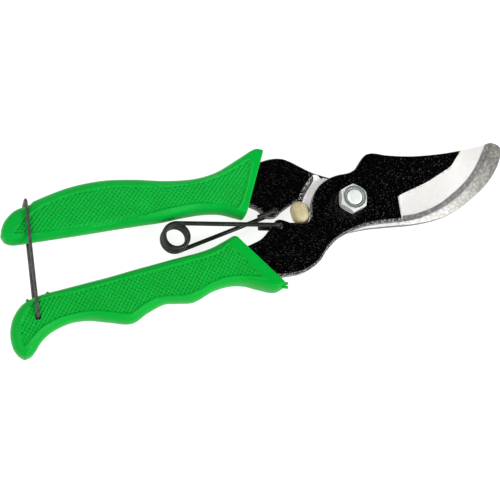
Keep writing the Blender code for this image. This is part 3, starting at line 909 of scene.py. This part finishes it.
def chamfered_hexagon(name, low, high, ease_top, materials):
    """A hexagon whose corners are cut back to a circle at its lower end and, if asked, also at its
    upper one, which then has a washer face.
    """
    corner = ACROSS_FLATS / math.sqrt(3)
    shape = arc((0, 0), corner, HEXAGON_TURN, HEXAGON_TURN + 300, 6)
    body = stack(name, [at_height(shape, low), at_height(shape, high)], materials)
    small = corner - CORNER_CHAMFER
    wide = corner + 1
    rise = CORNER_CHAMFER * 1.1
    profile = [(small - 1.7, low - 1), (small, low + 0.06)]
    profile += [(corner, low + rise), (wide, low + rise + 0.5)]
    if ease_top:
        step = high - 0.4
        profile += [(wide, step - rise - 0.5), (corner, step - rise), (small + 0.1, step)]
        profile += [(small, step + 0.02), (small, high - 0.12), (small - 0.08, high - 0.03)]
        profile += [(small - 0.2, high), (small - 0.3, high + 1)]
    else:
        profile.append((wide, high + 1))
    carve(body, turned("cone", profile, sides=96), "INTERSECT", 24.0)
    return body


def make_bolt(zinc, bright_zinc):
    """The dished head under the hook lever, and the domed, threaded end in the nut."""
    head = chamfered_hexagon("pivot_bolt_head", 0.0, HOOK_LOW - CLEARANCE, False, [zinc])
    carve(head, turned("dish", [(3.1, -1.0), (3.1, 0.0), (2.5, 0.18), (0.2, 0.22)]))
    show(head, "pivot_bolt", "blade_side")
    profile = [(BOLT_RADIUS - 0.2, MIDDLE), (BOLT_RADIUS, MIDDLE + 0.5)]
    for ridge in range(THREAD_RIDGES):
        z = NUT_HIGH - 1.1 + THREAD_STEP * ridge
        profile.append((BOLT_RADIUS - THREAD_DEPTH * (ridge % 2), z))
    profile += [(BOLT_RADIUS - 0.05, BOLT_END - 0.2), (BOLT_RADIUS - 0.2, BOLT_END)]
    profile += [(BOLT_RADIUS - 0.5, BOLT_END + 0.1), (1.7, BOLT_END + 0.18), (0.9, BOLT_END + 0.23)]
    profile.append((0.1, BOLT_END + 0.25))
    shank = turned("pivot_bolt_end", profile, [bright_zinc])
    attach(shank, "blade_side")


def make_nut(zinc, bore_shade_zinc):
    """The chamfered nut, its bore broken at both ends and painted dark inside as shade."""
    low = BLADE_HIGH
    nut = chamfered_hexagon("pivot_nut_plated", low + CLEARANCE, NUT_HIGH, True, [zinc, bore_shade_zinc])
    profile = [(COUNTERSINK, low - 1), (COUNTERSINK, low + 0.1), (BORE_RADIUS, low + 0.6)]
    profile += [(BORE_RADIUS, NUT_HIGH - 0.55), (3.5, NUT_HIGH - 0.05), (3.62, NUT_HIGH + 0.02)]
    profile.append((4.0, NUT_HIGH + 1.0))
    carve(nut, turned("bore", profile))

    # Faces of the bore and its countersink take the dark copy: painted shade
    def inside(middle, facing):
        return math.hypot(middle.x, middle.y) < COUNTERSINK - 0.05

    use_second_material(nut, inside)
    show(nut, "pivot_nut", "blade_side")


def make_bumper(rubber):
    """A barrel-shaped buffer across the shears, its rounded ends in the two notches."""
    rings = []
    for end, start in ((BUMPER_LOWER_Y, -88), (BUMPER_UPPER_Y, 0)):
        for step in range(12):
            a = math.radians(start + 8 * step)
            radius = BUMPER_RADIUS * math.cos(a) ** 0.85
            y = end + BUMPER_RADIUS * math.sin(a)
            rim = arc((BUMPER_X, MIDDLE), radius, 0, 354, 60)
            rings.append([(x, y, z) for x, z in rim])
    bumper = stack("bumper_rubber", rings, [rubber], 50.0)
    show(bumper, "bumper", "blade_side")


def coil_path(start, turns, height, rise):
    """Points round the coil from an angle, over some turns, climbing with the turning."""
    count = int(abs(turns) * 60)
    made = []
    for i in range(count + 1):
        turned_by = turns * 2 * math.pi * i / count
        a = start + turned_by
        x = COIL_CENTRE[0] + COIL_RADIUS * math.cos(a)
        y = COIL_CENTRE[1] + COIL_RADIUS * math.sin(a)
        made.append((x, y, height + rise * abs(turned_by) / (2 * math.pi)))
    return made


def leg_tangent(hole, side):
    """The angle on the coil where a straight leg from the hole touches it, on the given side."""
    run = Vector(hole) - Vector(COIL_CENTRE)
    return math.atan2(run.y, run.x) + side * math.acos(COIL_RADIUS / run.length)


def spring_leg(name, hole, other_hole, side, levels, thick, slim, wire):
    """One leg of the spring, turned through the hole of its lever, and its half of the coil.

    The side is 1 for the leg that meets the coil's top turn and -1 for the other one. The levels are
    the heights of the lever's faces. The coil's inner end is slimmer by the slim value.
    """
    start = leg_tangent(hole, side)
    other = leg_tangent(other_hole, -side)
    total = COIL_TURNS * 2 * math.pi + (other - start) * side % (2 * math.pi)
    half_turns = (total + COIL_OVERLAP) / 2 / (2 * math.pi)
    height = MIDDLE + side * COIL_PITCH * total / (2 * math.pi) / 2
    coil = coil_path(start, side * half_turns, height, -side * COIL_PITCH)
    run = (Vector(coil[0][:2]) - Vector(hole)).normalized()
    stub = Vector(hole) + run * STUB_LENGTH
    reach = CLEARANCE + SPRING_WIRE
    under, over = (levels[0] - reach, levels[1] + reach)[::side]
    leg = rounded([(*stub, under), (*hole, under), (*hole, over), coil[0]], 2 * SPRING_WIRE)
    path = leg[:-1] + coil
    radii = [thick] * (len(path) - SLIM_POINTS) + [thick - slim] * SLIM_POINTS
    return tube(name, path, radii, [wire])


def make_spring(wire):
    """Two legs, whose ends overlap in the middle of the coil."""
    blade_levels, hook_levels = (BLADE_LOW, BLADE_HIGH), (HOOK_LOW, HOOK_HIGH)
    holes = (BLADE_HOLE, HOOK_HOLE)
    leg = spring_leg("blade_spring_leg_wire", *holes, 1, blade_levels, SPRING_WIRE, 0.0, wire)
    show(leg, "blade_spring_leg", "spring_front")
    sizes = (HOOK_LEG_WIRE, HOOK_LEG_SLIM)
    leg = spring_leg("hook_spring_leg_wire", *holes[::-1], -1, hook_levels, *sizes, wire)
    show(leg, "hook_spring_leg", "spring_rear")


def make_catch(wire):
    """A wire loop over the upper grip, its two ends turned into the lower grip's cross hole."""
    rise = GRIP_THICK_REAR / 2 + CATCH_LIFT + CATCH_WIRE
    hole = Vector(CATCH_HOLE)
    seat = Vector(CATCH_SEAT)
    top = seat + (seat - hole).normalized() * (CATCH_SLACK + CATCH_WIRE)
    corners = []
    for sign in (1, -1):
        inner = MIDDLE + sign * (rise - CATCH_WIRE - CATCH_END)
        ends = [(*hole, inner), (*hole, MIDDLE + sign * rise), (*top, MIDDLE + sign * rise)]
        corners += ends if sign > 0 else ends[::-1]
    catch = tube("catch_wire_loop", rounded(corners, 1.6, 12), CATCH_WIRE, [wire], 20)
    show(catch, "catch_wire", "catch")


# ---------------------------------------------------------------- stage


def make_floor():
    """A plain pale floor just under the shears, bright enough to lose their shadow."""
    mesh = bmesh.new()
    half = FLOOR_HALF
    corners = [(-half, -half, 0), (half, -half, 0), (half, half, 0), (-half, half, 0)]
    mesh.faces.new([mesh.verts.new(corner) for corner in corners])
    data = bpy.data.meshes.new("floor")
    mesh.to_mesh(data)
    mesh.free()
    item = bpy.data.objects.new("floor", data)
    bpy.context.scene.collection.objects.link(item)
    item.location.z = CAD_LOW.z - FLOOR_DROP
    pale = Finish("pale_floor", {"Roughness": 0.9, "Specular IOR Level": 0.0})
    pale.feed(Base_Color=(0.3, 0.3, 0.3, 1), Emission_Color=(1, 1, 1, 1), Emission_Strength=0.85)
    data.materials.append(pale.material)


def add_light(name, azimuth, elevation, distance, size, power):
    """A soft square light aimed at the middle of the shears, in degrees, metres and watts."""
    data = bpy.data.lights.new(name, "AREA")
    data.size = size
    data.energy = power
    lamp = bpy.data.objects.new(name, data)
    bpy.context.scene.collection.objects.link(lamp)
    a, e = math.radians(azimuth), math.radians(elevation)
    back = Vector((math.cos(a) * math.cos(e), math.sin(a) * math.cos(e), math.sin(e)))
    centre = (CAD_LOW + CAD_HIGH) / 2
    lamp.location = centre + back * distance
    lamp.rotation_mode = "QUATERNION"
    lamp.rotation_quaternion = (-back).to_track_quat("-Z", "Y")


def light_scene():
    """A bright surround, dark overhead: flat faces stay deep and their edges catch the light."""
    scene = bpy.context.scene
    world = bpy.data.worlds.new("studio")
    scene.world = world
    world.use_nodes = True
    studio = Nodes(world.node_tree)
    sky = world.node_tree.nodes["Background"]
    sky.inputs["Color"].default_value = (1, 1, 1, 1)
    way = studio.add("ShaderNodeTexCoord", {}, {}, "Generated")
    overhead = {0: way, 1: (0.27, 0.2, 0.94)}
    near_top = studio.add("ShaderNodeVectorMath", {"operation": "DOT_PRODUCT"}, overhead, "Value")
    studio.join(sky.inputs["Strength"], 1.0 - 0.97 * near_top.between(0.35, 0.86))
    add_light("key", azimuth=-55, elevation=42, distance=0.9, size=0.5, power=5.6)
    add_light("side", azimuth=-15, elevation=36, distance=0.9, size=0.35, power=3.0)
    add_light("rim", azimuth=150, elevation=52, distance=1.0, size=0.7, power=5.6)
    scene.view_settings.view_transform = "Standard"


def place_camera():
    """High over the shears, leaning to the lower grip's end, with the jaws rising to the right."""
    azimuth, elevation, roll, distance = -53.2, 70.05, 39.2, 570.8
    aim = Vector((-43.9, -10.0, 8.0)) * MM
    data = bpy.data.cameras.new("camera")
    data.sensor_width = 36.0
    data.lens = 108.0
    data.clip_start = 0.01
    item = bpy.data.objects.new("camera", data)
    bpy.context.scene.collection.objects.link(item)
    a, e = math.radians(azimuth), math.radians(elevation)
    back = Vector((math.sin(a) * math.cos(e), -math.cos(a) * math.cos(e), math.sin(e)))
    item.location = aim + back * distance * MM
    item.rotation_mode = "QUATERNION"
    turn = Quaternion((0, 0, 1), math.radians(roll))
    item.rotation_quaternion = (-back).to_track_quat("-Z", "Y") @ turn
    bpy.context.scene.camera = item


def build():
    paint = black_paint("black_hammered_paint")
    make_blade_lever(paint, ground_steel("ground_blade_steel"))
    make_hook_lever(paint, milled_steel("milled_hook_steel"))
    bright, deep = (0.0003, 0.34, 0.034), (0.0002, 0.305, 0.028)
    make_upper_grip(green_plastic("green_upper_plastic", bright, deep))
    bright, deep = (0.0003, 0.33, 0.03), (0.0002, 0.3, 0.024)
    lower_plastic = green_plastic("green_lower_plastic", bright, deep)
    make_lower_grip(lower_plastic)
    make_flash(lower_plastic)
    zinc = zinc_plate("zinc_plated_nut", (0.72, 0.735, 0.71), 0.24)
    make_bolt(zinc, zinc_plate("bright_bolt_end", (0.95, 0.965, 0.94), 0.3))
    # The nut's bore takes a dark copy of the zinc, as painted shade
    make_nut(zinc, zinc_plate("painted_bore_shade", (0.16, 0.2, 0.17), 0.45))
    make_bumper(cream_rubber("buff_rubber"))
    make_spring(black_wire("black_spring_steel", (0.006, 0.0075, 0.005), (0.018, 0.02, 0.014)))
    make_catch(black_wire("grey_catch_steel", (0.03, 0.03, 0.028), (0.08, 0.08, 0.075)))
    make_floor()
    light_scene()
    place_camera()


build()
